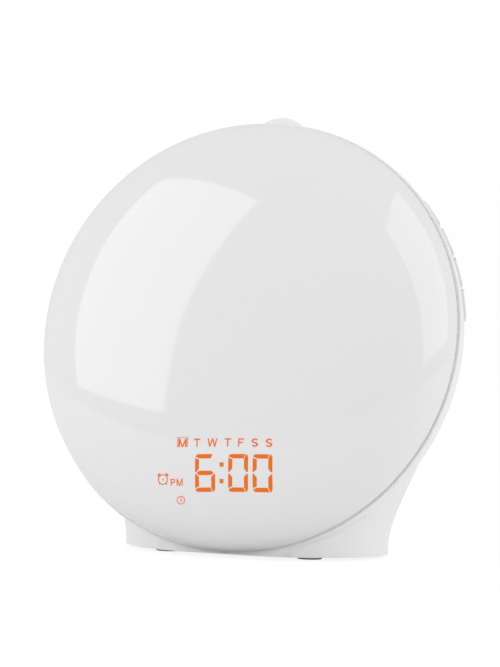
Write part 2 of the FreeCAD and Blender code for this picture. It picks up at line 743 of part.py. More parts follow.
def display_prisms(grow):
    """Upright prisms through the block, one for each segment and colon dot."""
    prisms = []
    start = DIGITS_OFFSET - (DIGIT_PITCH * 3 + COLON_SPACE) / 2
    for digit in range(4):
        middle = start + digit * DIGIT_PITCH + (COLON_SPACE if digit > 1 else 0)
        for x, y, dx, dy in segment_outlines():
            if dx >= dy:
                bar = hexagon(dx + 2 * grow, dy + 2 * grow)
            else:
                bar = hexagon(dy + 2 * grow, dx + 2 * grow)
                bar.rotate(CENTRE, AXIS, 90)
            bar.translate(Vector(middle + x, DISPLAY_CENTRE + y, -REACH))
            prisms.append(bar.extrude(Vector(0, 0, 2 * REACH)))
    colon_x = start + 1.5 * DIGIT_PITCH + COLON_SPACE / 2
    for side in (-1, 1):
        half = SEGMENT_WIDTH / 2 + grow
        y = DISPLAY_CENTRE + side * COLON_RISE
        prisms.append(box((colon_x - half, y - half, -REACH), (colon_x + half, y + half, REACH)))
    return prisms


def display_housing():
    return lean(display_block().cut(display_prisms(SEGMENT_CLEARANCE)))


def display_segments():
    block = display_block()
    return lean(Part.makeCompound([block.common(prism) for prism in display_prisms(0)]))


def display_board():
    half = DISPLAY_WIDTH / 2
    return lean(box((-half, DISPLAY_BOTTOM, PAN_TOP), (half, DISPLAY_TOP, PAN_TOP + BOARD_THICKNESS)))


def speaker_basket():
    seat = REAR_WALL_INNER
    rim = seat + SPEAKER_FLANGE
    back = rim + SPEAKER_BASKET_DEPTH
    wall = SPEAKER_FLANGE
    return lean(spun([
        (SPEAKER_BASKET_RADIUS, seat), (SPEAKER_RADIUS, seat), (SPEAKER_RADIUS, rim),
        (SPEAKER_BASKET_RADIUS + wall, rim), (SPEAKER_MAGNET_RADIUS, back), (0, back),
        (0, back - wall), (SPEAKER_MAGNET_RADIUS - wall, back - wall), (SPEAKER_BASKET_RADIUS, rim),
    ]))


def speaker_magnet():
    back = REAR_WALL_INNER + SPEAKER_FLANGE + SPEAKER_BASKET_DEPTH
    return lean(disc(SPEAKER_MAGNET_RADIUS, back, back + SPEAKER_MAGNET_DEPTH))


def speaker_cone():
    """Paper cone and dust cap, glued to the basket at its rim."""
    seat = REAR_WALL_INNER + SPEAKER_CONE_WALL
    deep = seat + 0.6 * SPEAKER_BASKET_DEPTH
    wall = SPEAKER_CONE_WALL
    coil = SPEAKER_MAGNET_RADIUS / 2
    return lean(spun([
        (SPEAKER_BASKET_RADIUS, seat), (SPEAKER_BASKET_RADIUS, seat + wall),
        (coil + wall, deep + wall), (0, deep - 2 * wall), (0, deep - 3 * wall), (coil, deep),
        (SPEAKER_BASKET_RADIUS - 3 * wall, seat),
    ]))


def speaker_ring():
    low = REAR_WALL_INNER + SPEAKER_FLANGE
    high = low + SPEAKER_RING_THICKNESS
    outer = SPEAKER_RADIUS + SPEAKER_RING_WIDTH - EMBED
    ring = disc(outer, low, high).cut(disc(SPEAKER_RADIUS - EMBED, low, high))
    holes = [disc(SCREW_SHANK, low, high, x, y) for x, y in speaker_screw_spots()]
    return lean(ring.cut(holes))


def speaker_screws():
    face = REAR_WALL_INNER + SPEAKER_FLANGE + SPEAKER_RING_THICKNESS
    grip = SPEAKER_RING_THICKNESS
    shapes = []
    for x, y in speaker_screw_spots():
        head = disc(0.8 * SCREW_HEAD, face, face + SCREW_HEAD_HEIGHT, x, y)
        shapes.append(head.fuse(disc(SCREW_SHANK, face - grip, face, x, y)))
    return lean(Part.makeCompound(shapes))


def bottom_plate():
    slab = box((-REACH, -REACH, FOOT_BOTTOM), (REACH, REACH, PLATE_TOP))
    plate = slab.common(foot_form(HOUSING_WALL + PLATE_CLEARANCE))
    plate = plate.common(behind(-PAN_BACK + PLATE_CLEARANCE))
    opening = rounded_rectangle(
        DOOR_LENGTH + 2 * DOOR_CLEARANCE, DOOR_LENGTH + 2 * DOOR_CLEARANCE,
        DOOR_CORNER + DOOR_CLEARANCE,
    )
    opening.translate(Vector(0, DOOR_CENTRE_Y, FOOT_BOTTOM))
    cuts = [opening.extrude(Vector(0, 0, PLATE_THICKNESS))]
    head_room = SCREW_HEAD_HEIGHT / 2
    for x, y in plate_screw_spots():
        cuts.append(disc(SCREW_HOLE, FOOT_BOTTOM, PLATE_TOP, x, y))
        cuts.append(disc(SCREW_HEAD + KEY_GAP, FOOT_BOTTOM, FOOT_BOTTOM + head_room, x, y))
    plate = plate.cut(cuts)
    ribs = []
    for x in (-PORT_BOARD_LENGTH / 3, PORT_BOARD_LENGTH / 3):
        y = FOOT_CENTRE_Y + FOOT_HALF_DEPTH - PORT_BOARD_DEPTH
        ribs.append(box(
            (x - RIB_THICKNESS / 2, y, PLATE_TOP - EMBED),
            (x + RIB_THICKNESS / 2, y + PORT_BOARD_DEPTH / 3, PORT_BOARD_HEIGHT),
        ))
    return plate.fuse(ribs)


def plate_screws():
    seat = FOOT_BOTTOM + SCREW_HEAD_HEIGHT / 2
    shapes = []
    for x, y in plate_screw_spots():
        head = disc(SCREW_HEAD, FOOT_BOTTOM, seat, x, y)
        shapes.append(head.fuse(disc(SCREW_SHANK, seat, PLATE_TOP + SCREW_GRIP, x, y)))
    return Part.makeCompound(shapes)


def rubber_feet():
    shapes = []
    for x, y in (PAD_FRONT, PAD_REAR):
        for side in (-1, 1):
            pad = disc(PAD_RADIUS, 0, FOOT_PAD_HEIGHT, side * x, y)
            low = [e for e in pad.Edges if e.BoundBox.ZMax < 0.01]
            shapes.append(pad.makeChamfer(0.25 * FOOT_PAD_HEIGHT, low))
    return Part.makeCompound(shapes)


def battery_door():
    face = rounded_rectangle(DOOR_LENGTH, DOOR_LENGTH, DOOR_CORNER)
    face.translate(Vector(0, DOOR_CENTRE_Y, FOOT_BOTTOM))
    door = face.extrude(Vector(0, 0, PLATE_THICKNESS))
    x, y = door_screw_spot()
    hole = disc(SCREW_HOLE, FOOT_BOTTOM, PLATE_TOP, x, y)
    room = disc(SCREW_HEAD + KEY_GAP, FOOT_BOTTOM, FOOT_BOTTOM + SCREW_HEAD_HEIGHT / 2, x, y)
    return door.cut([hole, room])


def door_screw_spot():
    inset = DOOR_LENGTH / 2 - DOOR_SCREW_INSET
    return inset, DOOR_CENTRE_Y - inset


def door_screw():
    x, y = door_screw_spot()
    seat = FOOT_BOTTOM + SCREW_HEAD_HEIGHT / 2
    head = disc(SCREW_HEAD, FOOT_BOTTOM, seat, x, y)
    return head.fuse(disc(SCREW_SHANK, seat, PLATE_TOP + SCREW_GRIP / 2, x, y))


def battery_holder():
    half = DOOR_LENGTH / 2 + DOOR_CLEARANCE + HOLDER_WALL
    top = PLATE_TOP + CELL_HEIGHT + CELL_CLEARANCE + HOLDER_WALL
    block = box((-half, DOOR_CENTRE_Y - half, PLATE_TOP), (half, DOOR_CENTRE_Y + half, top))
    well = disc(CELL_RADIUS + CELL_CLEARANCE, PLATE_TOP, top - HOLDER_WALL, 0, DOOR_CENTRE_Y)
    x, y = door_screw_spot()
    return block.cut([well, disc(SCREW_SHANK, PLATE_TOP, PLATE_TOP + SCREW_GRIP / 2, x, y)])


def coin_cell():
    low = PLATE_TOP + CELL_CLEARANCE / 2
    return disc(CELL_RADIUS, low, low + CELL_HEIGHT, 0, DOOR_CENTRE_Y)


def port_board():
    back = FOOT_CENTRE_Y + FOOT_HALF_DEPTH
    board = box(
        (-PORT_BOARD_LENGTH / 2, back - PORT_BOARD_DEPTH, PORT_BOARD_HEIGHT),
        (PORT_BOARD_LENGTH / 2, back, PORT_BOARD_HEIGHT + BOARD_THICKNESS),
    )
    return board.common(foot_form(HOUSING_WALL + PORT_CLEARANCE))


def dc_jack():
    x = -PORT_OFFSET
    z = jack_axis_z()
    mouth = port_face_y(x) - PORT_SET_BACK
    wall_inside = port_face_y(x + math.copysign(JACK_BODY_WIDTH / 2, x)) - HOUSING_WALL - PORT_CLEARANCE
    body_end = wall_inside - PORT_CLEARANCE
    half = JACK_BODY_WIDTH / 2
    rise = JACK_BODY_HEIGHT / 2
    body = box((x - half, body_end - JACK_BODY_LENGTH, z - rise), (x + half, body_end, z + rise))
    back = Vector(x, body_end - EMBED, z)
    out = Vector(0, 1, 0)
    barrel = Part.makeCylinder(JACK_BARREL_RADIUS, mouth - body_end + EMBED, back, out)
    bore = Part.makeCylinder(JACK_BORE_RADIUS, JACK_BORE_DEPTH, Vector(x, mouth - JACK_BORE_DEPTH, z), out)
    pin_start = Vector(x, mouth - JACK_BORE_DEPTH - EMBED, z)
    pin = Part.makeCylinder(JACK_PIN_RADIUS, JACK_BORE_DEPTH, pin_start, out)
    return body.fuse(barrel).cut(bore).fuse(pin).removeSplitter()


def charging_socket():
    x = PORT_OFFSET
    z = socket_axis_z()
    mouth = port_face_y(x + SOCKET_WIDTH / 2) - PORT_SET_BACK
    half = SOCKET_WIDTH / 2
    rise = SOCKET_HEIGHT / 2
    shell = box((x - half, mouth - SOCKET_LENGTH, z - rise), (x + half, mouth, z + rise))
    room = box(
        (x - half + SOCKET_SHELL, mouth - SOCKET_DEPTH, z - rise + SOCKET_SHELL),
        (x + half - SOCKET_SHELL, mouth, z + rise - SOCKET_SHELL),
    )
    tongue_top = z + rise - SOCKET_SHELL - SOCKET_TONGUE_DROP
    tongue = box(
        (x - half + 2 * SOCKET_SHELL, mouth - SOCKET_DEPTH - EMBED, tongue_top - SOCKET_TONGUE),
        (x + half - 2 * SOCKET_SHELL, mouth - EMBED, tongue_top),
    )
    return shell.cut(room).fuse(tongue).removeSplitter()


def all_parts():
    parts = {
        "diffuser_dome": diffuser_dome(),
        "rear_housing": rear_housing(),
        "bottom_plate": bottom_plate(),
        "rubber_feet": rubber_feet(),
        "plate_screws": plate_screws(),
        "battery_door": battery_door(),
        "battery_door_screw": door_screw(),
        "battery_holder": battery_holder(),
        "coin_cell": coin_cell(),
        "reflector_pan": reflector_pan(),
        "pan_screws": pan_screws(),
        "lamp_board": lamp_board(),
        "lamps": lamps(),
        "display_housing": display_housing(),
        "display_segments": display_segments(),
        "display_board": display_board(),
        "main_board": main_board(),
        "controller_chips": controller_chips(),
        "board_screws": board_screws(),
        "speaker_basket": speaker_basket(),
        "speaker_magnet": speaker_magnet(),
        "speaker_cone": speaker_cone(),
        "speaker_ring": speaker_ring(),
        "speaker_screws": speaker_screws(),
        "port_board": port_board(),
        "dc_jack": dc_jack(),
        "charging_socket": charging_socket(),
        "snooze_button": lean(snooze_button()),
    }
    for name in ("right", "left", "snooze"):
        parts[name + "_key_board"] = key_board(name)
        parts[name + "_switches"] = key_switches(name)
    for number, shift in enumerate(side_key_shifts(), start=1):
        key = side_key(shift)
        parts[f"right_button_{number}"] = lean(key)
        parts[f"left_button_{number}"] = lean(mirrored(key))
    return parts


def main():
    os.makedirs("parts", exist_ok=True)
    parts = all_parts()
    whole = Part.makeCompound(list(parts.values())).optimalBoundingBox(False, False)
    # The origin is the middle of the clock's box, on the table.
    home = Vector(-(whole.XMin + whole.XMax) / 2, -(whole.YMin + whole.YMax) / 2, -whole.ZMin)
    for name, shape in parts.items():
        shape.translate(home)
        bad = [s for s in shape.Solids if not s.isValid()]
        note = " INVALID" if bad or not shape.Solids else ""
        print(f"{name}: {len(shape.Solids)} solids, {shape.Volume / 1000:.2f} cm3{note}")
        shape.exportStep(f"parts/{name}.step")
    print(f"size {whole.XLength:.2f} x {whole.YLength:.2f} x {whole.ZLength:.2f}")
    print(f"moved to the origin by {home.x:.3f}, {home.y:.3f}, {home.z:.3f}")
    for label, angle in (("right", SIDE_KEY_ANGLE), ("left", 180 - SIDE_KEY_ANGLE), ("snooze", 90)):
        x, y = polar(1, angle)
        press = LEAN.Rotation.multVec(Vector(-x, -y, 0))
        print(f"{label} keys press along {press.x:.6f}, {press.y:.6f}, {press.z:.6f}")


main()
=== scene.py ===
"""Sunrise alarm clock: the looks of the opal dome, the lit display, the housing and its keys.

Lengths are in metres, written as millimetres times MM. Round pieces are modelled in the disc
frame, whose origin is the centre of the seam between dome and housing: x runs to the right,
y up the leaning face and z out of the face. LEAN sets such a piece on the clock. Outlines drawn in
that plane are in plain millimetres.
"""

import math

import bpy
from mathutils import Matrix, Vector


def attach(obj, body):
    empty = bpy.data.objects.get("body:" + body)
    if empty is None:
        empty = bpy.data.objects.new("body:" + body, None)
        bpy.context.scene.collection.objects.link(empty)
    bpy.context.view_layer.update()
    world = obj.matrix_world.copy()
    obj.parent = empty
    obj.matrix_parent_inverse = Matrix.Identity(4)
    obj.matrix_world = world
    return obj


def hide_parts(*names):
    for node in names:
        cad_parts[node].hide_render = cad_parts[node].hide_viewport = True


MM = 0.001

# Stance
TILT = math.radians(14.5)
SEAM_CENTRE = Vector((0, -10.69, 85.8)) * MM
LEAN = Matrix.Translation(SEAM_CENTRE) @ Matrix.Rotation(math.pi / 2 - TILT, 4, "X")

# Opal dome
DOME_RADIUS = 86.5 * MM
DOME_HEIGHT = 34.45 * MM
DOME_POWER = 2.2
DOME_WALL = 2.2 * MM
DOME_EDGE = 0.6 * MM
DOME_BASE = 0.4 * MM
SKIRT_RADIUS = 84.4 * MM
SKIRT_DEPTH = 3.6 * MM
DOME_STEPS = 160
DOME_ARC_STEPS = 44
DOME_INNER_STEPS = 30
DOME_SMOOTH = 40.0

# Rear housing and the keys on its rim
RING_RADIUS = 87.5 * MM
RING_BAND = 2.5 * MM
REAR_REACH = 61.5 * MM
REAR_POWER = 1.6
HOUSING_SMOOTH = 20.0
NORMAL_WEIGHT = 80
KEY_DEPTH = 10.0 * MM
KEY_SKIRT = 3.4 * MM
KEYS_PER_SIDE = 4
SIDE_KEY_SMOOTH = 45.0
WELD = 0.002 * MM

# Snooze bar, in millimetres
SNOOZE_LENGTH = 16.6
SNOOZE_WIDTH = 7.6
SNOOZE_RISE = 4.2
SNOOZE_ARCH = 3.0
SNOOZE_EDGE = 1.3
SNOOZE_SMOOTH = 40.0
RIB_COUNT = 4
RIB_PITCH = 2.3
RIB_WIDTH = 0.9
RIB_EDGE = 0.3
RIB_DEPTH = 4.0
RIB_STAND = 0.12            # past the bar's front and back
RIB_CREST = 0.22            # past the bar's top
RIB_FALL = 25.0             # the crests follow the arch: x squared over this
RIB_CORNER = 1.3

# Lit display, in millimetres on the disc
DIGIT_HALF_WIDTHS = (4.2, 4.0, 3.9)
DIGIT_HALF_HEIGHT = 7.0
SEGMENT_WIDTH = 1.6
DIGIT_LEVEL = -59.97
DIGIT_PLACES = (-1.7, 11.95, 21.75)
DIGITS_LIT = ("acdefg", "abcdef", "abcdef")
COLON_PLACE = 5.18
COLON_RISE = 3.1
WEEKDAY_PLACES = (-11.5, -5.35, 1.1, 7.45, 12.9, 18.45, 24.1)
WEEKDAY_LEVEL = -48.62
LETTER_HEIGHT = 3.15
LETTER_WEIGHT = 0.5
LETTER_WIDTHS = {"M": 1.0, "T": 0.85, "W": 1.3, "F": 0.76, "S": 0.84, "P": 0.78}
DAY_BOX_HALF_WIDTH = 2.2
DAY_BOX_HEIGHT = 3.7
DAY_BOX_HATCH = 0.45
DAY_BOX_LINE = 0.22
DAY_BOX_TOP_LINE = 0.2
ALARM_PLACE = (-19.9, -62.1)
ALARM_RADIUS = 2.25
ALARM_STROKE = 0.42
ALARM_HUB = 0.35
ALARM_HUB_STROKE = 0.3
ALARM_EAR = (2.4, 3.15)     # inner and outer radius
ALARM_EAR_ANGLE = 40
ALARM_EAR_SPREAD = 16
ALARM_FOOT = (2.1, 2.7)
ALARM_FOOT_ANGLE = 38
ALARM_FOOT_STROKE = 0.45
ALARM_SQUASH = 0.85
PM_PLACES = (-15.5, -12.6)
PM_LEVEL = -63.3
PM_HEIGHT = 2.65
PM_WEIGHT = 0.42
CLOCK_PLACE = (-12.35, -69.8)
CLOCK_RADIUS = 1.85
CLOCK_STROKE = 0.36
CLOCK_SQUASH = 0.83
LEGEND_RISE = 0.055         # climb of the rows per unit to the right
LEGEND_SLANT = 0.012        # lean of the uprights per unit of height
LEGEND_LIFT = 0.07 * MM
LEGEND_DEPTH = 0.3 * MM
HALO_LIFT = 0.045 * MM
HALO_WIDTH = 0.42 * MM
CUT_PITCH = 2
CUT_RANGES = ((0, -26, 28), (1, -74, -44))      # axis, first and last cut

# Studio
WORLD_STRENGTH = 0.76
FLOOR_SIZE = 12
FLOOR_ROUGHNESS = 0.9
FLOOR_ALBEDO = 0.95
FLOOR_GLOW_SHARE = 0.85
FLOOR_GLOW = 1.04
# Name, azimuth, elevation, distance, width and height, watts, roll
SOFTBOXES = (
    ("left_softbox", -52.2, 27.7, 1.075, (0.77, 1.04), 3.0, 5.0),
    ("right_softbox", 91.6, 34.9, 1.02, (1.0, 1.13), 2.9, 0.0),
)

# Camera, fitted to the photo's outline
IMAGE_WIDTH = 500
IMAGE_HEIGHT = 667
SENSOR_HEIGHT = 24
CLIP_RANGE = (0.05, 30)
CAMERA_AZIMUTH = math.radians(21.17)
CAMERA_ELEVATION = math.radians(2.753)
CAMERA_ROLL = math.radians(1.43)
CAMERA_DISTANCE = 2.0
FOCAL_PIXELS = 5048.7
TARGET_PIXEL = (250.4, 337.2)


# Modelling by hand: selection and edit mode

def pick(*pieces):
    """Selects these pieces alone, the first one active."""
    if bpy.context.object and bpy.context.object.mode != "OBJECT":
        bpy.ops.object.mode_set(mode="OBJECT")
    bpy.ops.object.select_all(action="DESELECT")
    for piece in pieces:
        piece.select_set(True)
    bpy.context.view_layer.objects.active = pieces[0]


def edit(piece, select="SELECT"):
    pick(piece)
    bpy.ops.object.mode_set(mode="EDIT")
    bpy.ops.mesh.select_all(action=select)


def done(piece):
    bpy.ops.object.mode_set(mode="OBJECT")
    return piece


def weld(piece):
    edit(piece)
    bpy.ops.mesh.remove_doubles(threshold=WELD)
    return done(piece)


def tidy(piece):
    """Merges doubles and points the faces outwards."""
    weld(piece)
    edit(piece)
    bpy.ops.mesh.normals_make_consistent(inside=False)
    return done(piece)


def pen(points):
    """A wire drawn by hand: one vertex at the first point, extruded on to the others."""
    bpy.ops.object.select_all(action="DESELECT")
    bpy.ops.mesh.primitive_plane_add(size=MM)
    wire = bpy.context.object
    edit(wire)
    bpy.ops.mesh.merge(type="CENTER")
    points = [Vector(p) for p in points]
    bpy.ops.transform.translate(value=points[0])
    for previous, point in zip(points, points[1:]):
        bpy.ops.mesh.extrude_region_move(TRANSFORM_OT_translate={"value": point - previous})
    return wire


def polygon(points):
    """A flat face through the points, in millimetres, in the disc's plane."""
    face = pen([(x * MM, y * MM, 0) for x, y in points])
    bpy.ops.mesh.select_all(action="SELECT")
    bpy.ops.mesh.edge_face_add()
    return done(face)


def lathe(section, steps):
    """A wire of (radius, z) points spun once round the disc's axis."""
    wire = pen([(r, 0, z) for r, z in section])
    bpy.ops.mesh.select_all(action="SELECT")
    bpy.ops.mesh.spin(steps=steps, angle=math.radians(360), center=(0, 0, 0), axis=(0, 0, 1))
    return done(wire)


def joined(pieces):
    pick(*pieces)
    if len(pieces) > 1:
        bpy.ops.object.join()
    return bpy.context.object


def settle(piece, name, matrix=LEAN):
    """Puts a piece's place into its mesh, so that its object stays at the origin."""
    pick(piece)
    bpy.ops.object.transform_apply(location=True, rotation=True, scale=True)
    piece.data.transform(matrix)
    piece.data.update()
    piece.name = name
    piece.data.name = name
    return piece


def apply_modifier(piece, kind, **settings):
    pick(piece)
    modifier = piece.modifiers.new(kind.title(), kind)
    for key, value in settings.items():
        setattr(modifier, key, value)
    bpy.ops.object.modifier_apply(modifier=modifier.name)
    return piece


def soften(piece, angle):
    pick(piece)
    bpy.ops.object.shade_smooth_by_angle(angle=math.radians(angle))
    return piece


# Shader maths

class Socket:
    """A node's output. Expressions on it add the Math nodes that work them out."""

    def __init__(self, finish, output):
        self.finish = finish
        self.output = output

    def _math(self, operation, a, b):
        return self.finish.node("ShaderNodeMath", {"operation": operation}, {0: a, 1: b})

    def __add__(self, other):
        return self._math("ADD", self, other)

    def __radd__(self, other):
        return self._math("ADD", other, self)

    def __mul__(self, other):
        return self._math("MULTIPLY", self, other)

    def __rmul__(self, other):
        return self._math("MULTIPLY", other, self)


class Finish:
    """A material with one Principled shader and the nodes that feed it."""

    def __init__(self, name, **constants):
        self.material = bpy.data.materials.new(name)
        self.material.use_nodes = True
        self.tree = self.material.node_tree
        self.shader = self.tree.nodes["Principled BSDF"]
        for key, value in constants.items():
            self.shader.inputs[key.replace("_", " ")].default_value = value

    def node(self, kind, settings=None, inputs=None, output=0):
        made = self.tree.nodes.new(kind)
        for key, value in (settings or {}).items():
            setattr(made, key, value)
        for key, value in (inputs or {}).items():
            self.connect(made.inputs[key], value)
        return Socket(self, made.outputs[output])

    def connect(self, target, value):
        if isinstance(value, Socket):
            self.tree.links.new(value.output, target)
        else:
            target.default_value = value

    def feed(self, name, value):
        self.connect(self.shader.inputs[name], value)

    def place(self):
        return self.node("ShaderNodeTexCoord", output="Object")

    def noise(self, scale, detail=2.0, roughness=0.5):
        return self.node(
            "ShaderNodeTexNoise", None,
            {"Vector": self.place(), "Scale": scale, "Detail": detail, "Roughness": roughness},
            output="Fac",
        )

    def blend(self, factor, first, second):
        """A colour that runs from first to second with the factor."""
        return self.node(
            "ShaderNodeMix", {"data_type": "RGBA"}, {0: factor, 6: first, 7: second}, output=2
        )

    def relief(self, height, distance, strength=1.0):
        bump = self.node(
            "ShaderNodeBump", None,
            {"Height": height, "Distance": distance, "Strength": strength},
            output="Normal",
        )
        self.feed("Normal", bump)


def grey(level):
    return (level, level, level, 1)


def scaled(colour, share):
    return tuple(share * c for c in colour[:3]) + (1,)


def opal_plastic():
    """Glossy opal shell: a trace of cloudiness, a shallow ripple from the mould."""
    finish = Finish("opal_diffuser", IOR=1.49, Specular_IOR_Level=0.9)
    cloud = finish.noise(9.0, detail=3.0)
    dull, clear = (0.775, 0.775, 0.785, 1), (0.8, 0.8, 0.808, 1)
    finish.feed("Base Color", finish.blend(cloud, dull, clear))
    finish.feed("Roughness", 0.05 + 0.03 * finish.noise(60.0))
    finish.relief(finish.noise(38.0, detail=1.0), 0.02 * MM, 0.25)
    return finish.material


def moulded_plastic(name, light, dark, roughness, depth=0.012):
    """Satin moulded plastic with a fine spark-eroded grain."""
    finish = Finish(name, IOR=1.5)
    finish.feed("Base Color", finish.blend(finish.noise(22.0, detail=4.0), dark, light))
    finish.feed("Roughness", roughness + 0.1 * finish.noise(180.0))
    finish.relief(finish.noise(2400.0), depth * MM, 0.5)
    return finish.material


def lit_legend(name, colour):
    """Light through the opal shell: even, with a trace of the shell's gloss over it."""
    finish = Finish(
        name, Roughness=0.16, IOR=1.49, Specular_IOR_Level=0.2, Emission_Strength=1.0
    )
    glow = finish.noise(400.0)
    finish.feed("Base Color", (0.02, 0.008, 0.002, 1))
    finish.feed("Emission Color", finish.blend(glow, scaled(colour, 0.93), colour))
    return finish.material


def metal(name, colour, roughness):
    finish = Finish(name, Metallic=1.0)
    grain = finish.noise(900.0, detail=3.0)
    finish.feed("Base Color", finish.blend(grain, scaled(colour, 0.82), colour))
    finish.feed("Roughness", roughness + 0.15 * grain)
    return finish.material


def circuit_board():
    finish = Finish("circuit_board", Roughness=0.4)
    weave = finish.noise(1500.0)
    dark, light = (0.62, 0.64, 0.62, 1), (0.75, 0.77, 0.75, 1)
    finish.feed("Base Color", finish.blend(weave, dark, light))
    finish.relief(weave, 0.01 * MM, 0.4)
    return finish.material


def speaker_paper():
    finish = Finish("speaker_paper", Roughness=0.85)
    fibre = finish.noise(700.0, detail=6.0, roughness=0.7)
    dark, light = (0.015, 0.015, 0.016, 1), (0.05, 0.05, 0.052, 1)
    finish.feed("Base Color", finish.blend(fibre, dark, light))
    finish.relief(fibre, 0.05 * MM, 0.6)
    return finish.material


def rubber():
    finish = Finish("foot_rubber", Roughness=0.75)
    dust = finish.noise(320.0, detail=4.0)
    finish.feed("Base Color", finish.blend(dust, grey(0.55), grey(0.68)))
    finish.relief(dust, 0.03 * MM, 0.4)
    return finish.material


def all_finishes():
    white = (0.86, 0.86, 0.862, 1)
    shade = (0.84, 0.84, 0.842, 1)
    return {
        "opal_diffuser": opal_plastic(),
        "housing_plastic": moulded_plastic("housing_plastic", white, shade, 0.3),
        "key_plastic": moulded_plastic("key_plastic", white, shade, 0.26, depth=0.008),
        "foot_rubber": rubber(),
        "screw_steel": metal("screw_steel", (0.56, 0.57, 0.58, 1), 0.28),
        "cell_steel": metal("cell_steel", (0.66, 0.66, 0.65, 1), 0.22),
        "white_plastic": moulded_plastic("white_plastic", grey(0.82), grey(0.78), 0.42),
        "black_plastic": moulded_plastic("black_plastic", grey(0.035), grey(0.02), 0.38),
        "circuit_board": circuit_board(),
        "lamp_resin": moulded_plastic(
            "lamp_resin", (0.85, 0.72, 0.3, 1), (0.78, 0.62, 0.22, 1), 0.25
        ),
        "amber_segment": lit_legend("amber_segment", (0.81, 0.158, 0.001, 1)),
        "halo": lit_legend("legend_halo", (1.0, 0.76, 0.58, 1)),
        "chip_resin": moulded_plastic("chip_resin", grey(0.03), grey(0.018), 0.5),
        "speaker_steel": metal("speaker_steel", (0.5, 0.5, 0.5, 1), 0.35),
        "magnet_ferrite": moulded_plastic("magnet_ferrite", grey(0.06), grey(0.04), 0.55),
        "speaker_paper": speaker_paper(),
        "socket_steel": metal("socket_steel", (0.6, 0.6, 0.6, 1), 0.25),
        "switch_plastic": moulded_plastic("switch_plastic", grey(0.05), grey(0.03), 0.4),
    }


def dress(piece, body, slot, finishes, finish=None, node=None):
    """Gives a finished piece the material of its finish or slot, and its body, and hides the CAD
    node it stands for.
    """
    piece.data.materials.clear()
    piece.data.materials.append(finishes[finish or slot])
    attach(piece, body)
    if node:
        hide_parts(node)


# Pieces of the clock

def dome_arc(radius, height, steps):
    """Superellipse from the apex down to the rim, as (radius, z) points."""
    points = []
    for index in range(steps + 1):
        angle = math.pi / 2 * (1 - index / steps)
        r = radius * max(0.0, math.cos(angle)) ** (2 / DOME_POWER)
        z = height * math.sin(angle) ** (2 / DOME_POWER)
        points.append((r, DOME_BASE + z))
    points[0] = (0, DOME_BASE + height)
    return points


def opal_dome():
    """Closed opal shell: dome, rounded rim, skirt in the housing and the inner wall."""
    outside = dome_arc(DOME_RADIUS, DOME_HEIGHT, DOME_ARC_STEPS)[:-1]
    rim = [
        (DOME_RADIUS, DOME_BASE + DOME_EDGE),
        (DOME_RADIUS - 0.3 * DOME_EDGE, DOME_BASE + 0.3 * DOME_EDGE),
        (DOME_RADIUS - DOME_EDGE, DOME_BASE),
        (SKIRT_RADIUS, DOME_BASE),
        (SKIRT_RADIUS, -SKIRT_DEPTH),
        (SKIRT_RADIUS - DOME_WALL, -SKIRT_DEPTH),
    ]
    inside = dome_arc(SKIRT_RADIUS - DOME_WALL, DOME_HEIGHT - DOME_WALL, DOME_INNER_STEPS)[::-1]
    outside = [point for point in outside if point[1] > DOME_BASE + 1.5 * DOME_EDGE]
    return tidy(lathe(outside + rim + inside, DOME_STEPS))


def rear_radius(depth):
    """Radius of the round rear at a depth behind the seam."""
    ratio = max(0.0, depth - RING_BAND) / REAR_REACH
    return RING_RADIUS * (1 - ratio ** REAR_POWER) ** (1 / REAR_POWER)


def slab(outline, thickness):
    """A polygon in the disc's plane, extruded to a thickness about z = 0, in millimetres."""
    face = polygon(outline)
    edit(face)
    bpy.ops.transform.translate(value=(0, 0, -thickness * MM / 2))
    bpy.ops.mesh.extrude_region_move(TRANSFORM_OT_translate={"value": (0, 0, thickness * MM)})
    return tidy(done(face))


def arch(half, foot, shoulder, top, steps=14):
    """Outline of a bar with upright ends and an arched top, in millimetres."""
    rise = top - shoulder
    radius = (half ** 2 + rise ** 2) / (2 * rise)
    reach = math.asin(half / radius)
    points = [(half, foot)]
    for index in range(steps + 1):
        angle = reach * (1 - 2 * index / steps)
        points.append((radius * math.sin(angle), top - radius * (1 - math.cos(angle))))
    return points + [(-half, foot)]


def snooze_rib(x, top):
    """A rib that wraps over the snooze bar at x, its crest following the arch."""
    reach = SNOOZE_WIDTH / 2 + RIB_STAND
    crest = top - x * x / RIB_FALL + RIB_CREST
    outline = [
        (reach, top - RIB_DEPTH), (reach, crest - RIB_CORNER), (reach - RIB_CORNER, crest)
    ]
    outline += [(-across, up) for across, up in outline[::-1]]
    rib = slab(outline, RIB_WIDTH)
    apply_modifier(rib, "BEVEL", width=RIB_EDGE * MM, segments=3, limit_method="ANGLE")
    edit(rib)
    bpy.ops.transform.rotate(value=math.pi / 2, orient_axis="Y", center_override=(0, 0, 0))
    bpy.ops.transform.translate(value=(x * MM, 0, 0))
    return done(rib)


def snooze_bar():
    """Arched bar on top of the rim with ribs that wrap over its front edge."""
    foot = (rear_radius(KEY_DEPTH) - KEY_SKIRT) / MM
    top = RING_RADIUS / MM + SNOOZE_RISE
    bar = slab(arch(SNOOZE_LENGTH / 2, foot, top - SNOOZE_ARCH, top), SNOOZE_WIDTH)
    apply_modifier(
        bar, "BEVEL", width=SNOOZE_EDGE * MM, segments=6, limit_method="ANGLE",
        angle_limit=math.radians(40), use_clamp_overlap=True,
    )
    places = [(index - (RIB_COUNT - 1) / 2) * RIB_PITCH for index in range(RIB_COUNT)]
    whole = joined([bar] + [snooze_rib(x, top) for x in places])
    matrix = LEAN @ Matrix.Translation((0, 0, -KEY_DEPTH))
    return soften(settle(whole, "snooze_bar", matrix), SNOOZE_SMOOTH)


